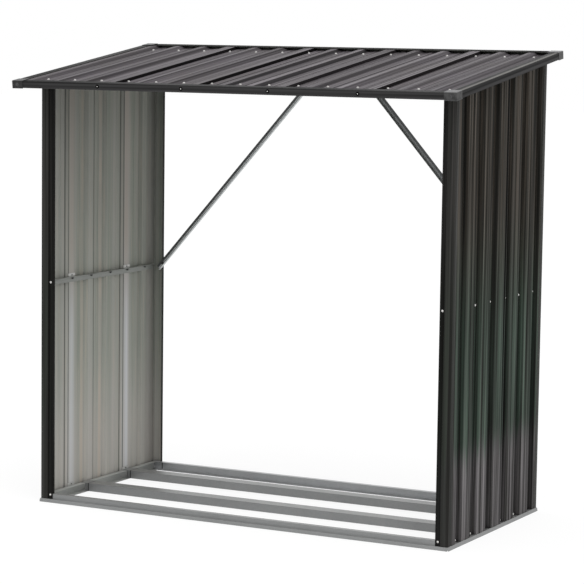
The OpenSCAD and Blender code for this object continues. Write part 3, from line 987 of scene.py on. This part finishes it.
def modelScrew(name, values):
    # a flange, a head on it, a low dome and a drive socket, from one cylinder
    clearChoice()
    bpy.ops.mesh.primitive_cylinder_add(
        vertices=values["sides"], radius=values["flange"], depth=values["flangeHigh"],
        location=(0, 0, values["flangeHigh"] / 2))
    screw = bpy.context.object
    screw.name = name
    bpy.ops.object.mode_set(mode="EDIT")
    pick(screw, "FACE", facesUp)
    bpy.ops.mesh.inset(thickness=values["flange"] - values["head"])
    bpy.ops.mesh.extrude_region_move(
        TRANSFORM_OT_translate={"value": (0, 0, values["headHigh"])})
    for step in range(3):
        bpy.ops.mesh.inset(thickness=values["head"] * 0.16)
        bpy.ops.transform.translate(value=(0, 0, values["dome"] * (3 - step) / 6))
    bpy.ops.mesh.extrude_region_move(
        TRANSFORM_OT_translate={"value": (0, 0, -values["socket"])})
    bpy.ops.transform.resize(value=(0.8, 0.8, 1))
    bpy.ops.object.mode_set(mode="OBJECT")
    soften = screw.modifiers.new("soften", "BEVEL")
    soften.width = values["soften"]
    soften.segments = 2
    soften.limit_method = "ANGLE"
    soften.angle_limit = math.radians(40)
    bpy.ops.object.modifier_apply(modifier="soften")
    bpy.ops.object.shade_smooth_by_angle(angle=math.radians(35))
    return screw


def setRow(master, name, seats, material, spinEach=0.7):
    # one copy of the master for each seat, joined as one row; without a material the
    # copies keep the master's own
    clearChoice()
    copies = []
    for count, (place, normal) in enumerate(seats):
        clearChoice()
        master.select_set(True)
        bpy.context.view_layer.objects.active = master
        bpy.ops.object.duplicate(linked=False)
        copy = bpy.context.object
        lean = normal.to_track_quat("Z", "Y").to_matrix().to_4x4()
        spin = Matrix.Rotation(count * spinEach, 4, "Z")
        copy.matrix_world = Matrix.Translation(place) @ lean @ spin
        bpy.ops.object.transform_apply(location=True, rotation=True, scale=True)
        copies.append(copy)
    clearChoice()
    for copy in copies:
        copy.select_set(True)
    bpy.context.view_layer.objects.active = copies[0]
    if len(copies) > 1:
        bpy.ops.object.join()
    row = bpy.context.object
    row.name = name
    row.data.name = name
    if material is not None:
        row.data.materials.clear()
        row.data.materials.append(material)
    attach(row, "root")
    clearChoice()
    return row


def makeScrewFinish(name, light, dark, rough, metal, shine=0.5):
    material, tree, shader, coords = startMaterial(name)
    position = coords.outputs["Object"]
    cloud = noise(tree, position, 420.0, 3.0, 0.6)
    colour = blendColour(tree, fade(tree, cloud, 0.35, 0.65), dark, light)
    # painted shade in the corners of the screw
    shade = useGroup(tree, paintedCornerShade, Reach=0.003, Depth=0.6)
    colour = darken(tree, colour, shade["Open"])
    grain = noise(tree, position, 2500.0, 2.0)
    plain = addNode(tree, "ShaderNodeNewGeometry")
    dress(tree, shader, colour, maths(tree, "MULTIPLY_ADD", cloud, 0.2, rough),
          addBump(tree, grain, plain.outputs["Normal"], 0.15, 0.0001))
    shader.inputs["Metallic"].default_value = metal
    shader.inputs["Specular IOR Level"].default_value = shine
    return material


brightScrew = makeScrewFinish("bright_screw", (0.86, 0.85, 0.83, 1),
                              (0.66, 0.65, 0.63, 1), 0.25, 0.3)
blackWasher = makeScrewFinish("black_washer", (0.004, 0.004, 0.004, 1),
                              (0.002, 0.002, 0.002, 1), 0.7, 0.0, 0.01)
darkBolt = makeScrewFinish("dark_bolt", (0.07, 0.07, 0.072, 1), (0.03, 0.03, 0.03, 1),
                           0.35, 0.2)

wallScrew = {
    "sides": 24, "flange": 0.0040, "flangeHigh": 0.0006, "head": 0.0033,
    "headHigh": 0.0009, "dome": 0.0010, "socket": 0.0010, "soften": 0.00015,
    "railHigh": 0.804, "baseHigh": 0.019,
    "past": 0.004,        # the wall screws sit a little behind each groove's middle
    "pastLap": 0.0105, "lapGroove": 3, "railRow": (1, 2, 3, 4, 5),
    "baseRow": (0, 1, 3, 4), "postAcross": 0.772, "postLow": 0.027,
    "grooves": {"right": (-0.2636, -0.1361, -0.0086, 0.1189, 0.2464, 0.3739),
                "left": (-0.2996, -0.1721, -0.0446, 0.0829, 0.2104, 0.3379)},
}
roofScrew = {
    "sides": 24, "flange": 0.0050, "flangeHigh": 0.0012, "head": 0.0038,
    "headHigh": 0.0026, "dome": 0.0006, "socket": 0.0008, "soften": 0.0002,
    "count": 15, "pitch": 0.1118, "first": -0.783,
    "frontRow": -0.346, "rearRow": 0.378,
}
railBolt = {
    "sides": 6, "flange": 0.0062, "flangeHigh": 0.0006, "head": 0.0056,
    "headHigh": 0.0040, "dome": 0.0008, "socket": 0.0006, "soften": 0.0002,
}
trimScrew = {
    "sides": 24, "flange": 0.0068, "flangeHigh": 0.0010, "head": 0.0018,
    "headHigh": 0.0010, "dome": 0.0008, "socket": 0.0004, "soften": 0.00015,
    "across": (-0.504, -0.168, 0.168, 0.504),
    "below": 0.002,       # how far below the trim's middle the screws sit
}


def setWallScrews():
    master = modelScrew("wall_screw", wallScrew)
    nut = modelScrew("rail_bolt", railBolt)
    for side, sign in (("left", -1), ("right", 1)):
        middle, base, inside = [], [], []
        for count, middleLine in enumerate(wallScrew["grooves"][side]):
            lapped = count == wallScrew["lapGroove"]
            along = middleLine + wallScrew["pastLap" if lapped else "past"]
            if count in wallScrew["railRow"]:
                outside = (sign * 1.2, along, wallScrew["railHigh"])
                middle.append(seatOn(side + "_panel", outside, (-sign, 0, 0)))
            if count in wallScrew["baseRow"]:
                low = (sign * 1.2, along, wallScrew["baseHigh"])
                base.append(seatOn(side + "_panel", low, (-sign, 0, 0)))
            within = (sign * 0.5, along, wallScrew["railHigh"])
            inside.append(seatOn("mid_rail_" + side, within, (sign, 0, 0)))
        setRow(master, "wall_screws_" + side, middle + base, brightScrew)
        setRow(nut, "rail_bolts_" + side, inside, darkBolt)
        heads = []
        across = sign * wallScrew["postAcross"]
        for height in (wallScrew["postLow"], wallScrew["railHigh"]):
            heads.append(seatOn("front_post_" + side, (across, -1, height), (0, 1, 0)))
            heads.append(seatOn("rear_post_" + side, (across, 1, height), (0, -1, 0)))
        setRow(master, "post_screws_" + side, heads, brightScrew)
    bpy.data.objects.remove(master)
    bpy.data.objects.remove(nut)


def setRoofScrews():
    master = modelScrew("roof_screw", roofScrew)
    for row in ("frontRow", "rearRow"):
        seats = []
        for count in range(roofScrew["count"]):
            across = roofScrew["first"] + count * roofScrew["pitch"]
            seats.append(seatOn("roof_sheet", (across, roofScrew[row], 3), (0, 0, -1)))
        label = "front" if row == "frontRow" else "rear"
        setRow(master, "roof_screws_" + label, seats, brightScrew)
    bpy.data.objects.remove(master)


def paintFlange(screw, reach):
    # faces further out than the head take the second finish
    screw.data.materials.append(brightScrew)
    screw.data.materials.append(blackWasher)
    for face in screw.data.polygons:
        if Vector(face.center).to_2d().length > reach:
            face.material_index = 1


def setTrimScrews():
    master = modelScrew("trim_screw", trimScrew)
    paintFlange(master, trimScrew["head"])
    for end, sign in (("front", -1), ("rear", 1)):
        low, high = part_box("roof_trim_" + end)
        height = (low.z + high.z) / 2 - trimScrew["below"]
        seats = [seatOn("roof_trim_" + end, (across, sign, height), (0, -sign, 0))
                 for across in trimScrew["across"]]
        setRow(master, "trim_screws_" + end, seats, None)
    bpy.data.objects.remove(master)


fixingPlate = {
    "wide": 0.044, "high": 0.012, "thick": 0.0016, "corner": 0.003, "boss": 0.0006,
    "edge": 0.0025, "railHigh": 0.8150, "baseHigh": 0.0365, "grooves": (1, 4),
    "screwOut": 1.2,      # where its screw sits, in plate thicknesses
}
plateScrew = dict(trimScrew, flange=0.0028, head=0.0022, soften=0.0001, dome=0.0005)


def modelPlate(name, values):
    # a thin steel plate with rounded corners and a pressed middle
    clearChoice()
    bpy.ops.mesh.primitive_cube_add(size=1)
    plate = bpy.context.object
    plate.name = name
    bpy.ops.object.mode_set(mode="EDIT")
    bpy.ops.transform.resize(value=(values["wide"], values["high"], values["thick"]))
    bpy.ops.transform.translate(value=(0, 0, values["thick"] / 2))
    pick(plate, "EDGE", standsUp)
    bpy.ops.mesh.bevel(offset=values["corner"], segments=4, affect="EDGES")
    pick(plate, "FACE", facesUp)
    bpy.ops.mesh.inset(thickness=values["edge"])
    bpy.ops.mesh.inset(thickness=values["boss"])
    bpy.ops.transform.translate(value=(0, 0, values["boss"]))
    bpy.ops.object.mode_set(mode="OBJECT")
    bpy.ops.object.shade_smooth_by_angle(angle=math.radians(30))
    return plate


def setPlates():
    master = modelPlate("fixing_plate", fixingPlate)
    screw = modelScrew("plate_screw", plateScrew)
    for side, sign in (("left", -1), ("right", 1)):
        seats, heads = [], []
        for groove in fixingPlate["grooves"]:
            along = wallScrew["grooves"][side][groove]
            for height in (fixingPlate["railHigh"], fixingPlate["baseHigh"]):
                start = (sign * 0.5, along, height)
                place, normal = seatOn(side + "_panel", start, (sign, 0, 0))
                seats.append((place, normal))
                outward = normal * fixingPlate["thick"] * fixingPlate["screwOut"]
                heads.append((place + outward, normal))
        setRow(master, "fixing_plates_" + side, seats, plateFinish, spinEach=0)
        setRow(screw, "plate_screws_" + side, heads, darkBolt)
    bpy.data.objects.remove(master)
    bpy.data.objects.remove(screw)


braceEnds = {
    "foot": (-0.757, 0.812),      # across and height of the lower bolt
    "head": (-0.050, 1.603),
}


def setBraceBolts():
    master = modelScrew("brace_bolt", railBolt)
    seats = []
    for side, sign in (("left", 1), ("right", -1)):
        for across, height in braceEnds.values():
            start = (sign * across, -1, height)
            seats.append(seatOn("brace_" + side, start, (0, 1, 0)))
    setRow(master, "brace_bolts", seats, darkBolt)
    bpy.data.objects.remove(master)


capShape = {
    "round": 0.0032,
    "screwLow": 0.003,        # how far the screw sits below the cap's middle
}


def modelCap(name):
    # the moulded corner: the CAD cap's own faces, merged and rounded off
    node = nodes[name]
    label = name.replace("corner_cap", "moulded_cap")
    cap = bpy.data.objects.new(label, node.data.copy())
    bpy.context.scene.collection.objects.link(cap)
    clearChoice()
    cap.select_set(True)
    bpy.context.view_layer.objects.active = cap
    low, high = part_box(name)
    middle = (low + high) / 2
    bpy.ops.object.mode_set(mode="EDIT")
    bpy.ops.mesh.select_all(action="SELECT")
    bpy.ops.mesh.remove_doubles(threshold=0.000001)
    bpy.ops.mesh.dissolve_limited(angle_limit=math.radians(1))
    sideways = 1 if middle.x > 0 else -1
    back = 1 if middle.y > 0 else -1

    def outerEdge(edge):
        facing = [f.normal for f in edge.link_faces]
        out = [n.z > 0.9 or n.x * sideways > 0.9 or n.y * back > 0.9 for n in facing]
        size = [f.calc_area() > 0.0008 for f in edge.link_faces]
        return len(facing) == 2 and all(out) and all(size)

    pick(cap, "EDGE", outerEdge)
    bpy.ops.mesh.bevel(offset=capShape["round"], segments=4, affect="EDGES")
    bpy.ops.object.mode_set(mode="OBJECT")
    bpy.ops.object.shade_smooth_by_angle(angle=math.radians(35))
    cap.data.materials.clear()
    cap.data.materials.append(capMaterial)
    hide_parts(name)
    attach(cap, "root")


def makeCaps():
    master = modelScrew("cap_screw", trimScrew)
    seats = []
    for side in ("left", "right"):
        for end in ("front", "rear"):
            name = "corner_cap_" + end + "_" + side
            low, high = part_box(name)
            middle = (low + high) / 2
            back = 1 if middle.y > 0 else -1
            start = (middle.x, back, middle.z - capShape["screwLow"])
            seats.append(seatOn(name, start, (0, -back, 0)))
            modelCap(name)
    setRow(master, "cap_screws", seats, darkBolt)
    bpy.data.objects.remove(master)


plateFinish = makeScrewFinish("bright_plate", (0.60, 0.60, 0.58, 1),
                              (0.48, 0.48, 0.47, 1), 0.3, 0.35)
setWallScrews()
setRoofScrews()
setTrimScrews()
setPlates()
setBraceBolts()
makeCaps()
print("screws and bolts set")
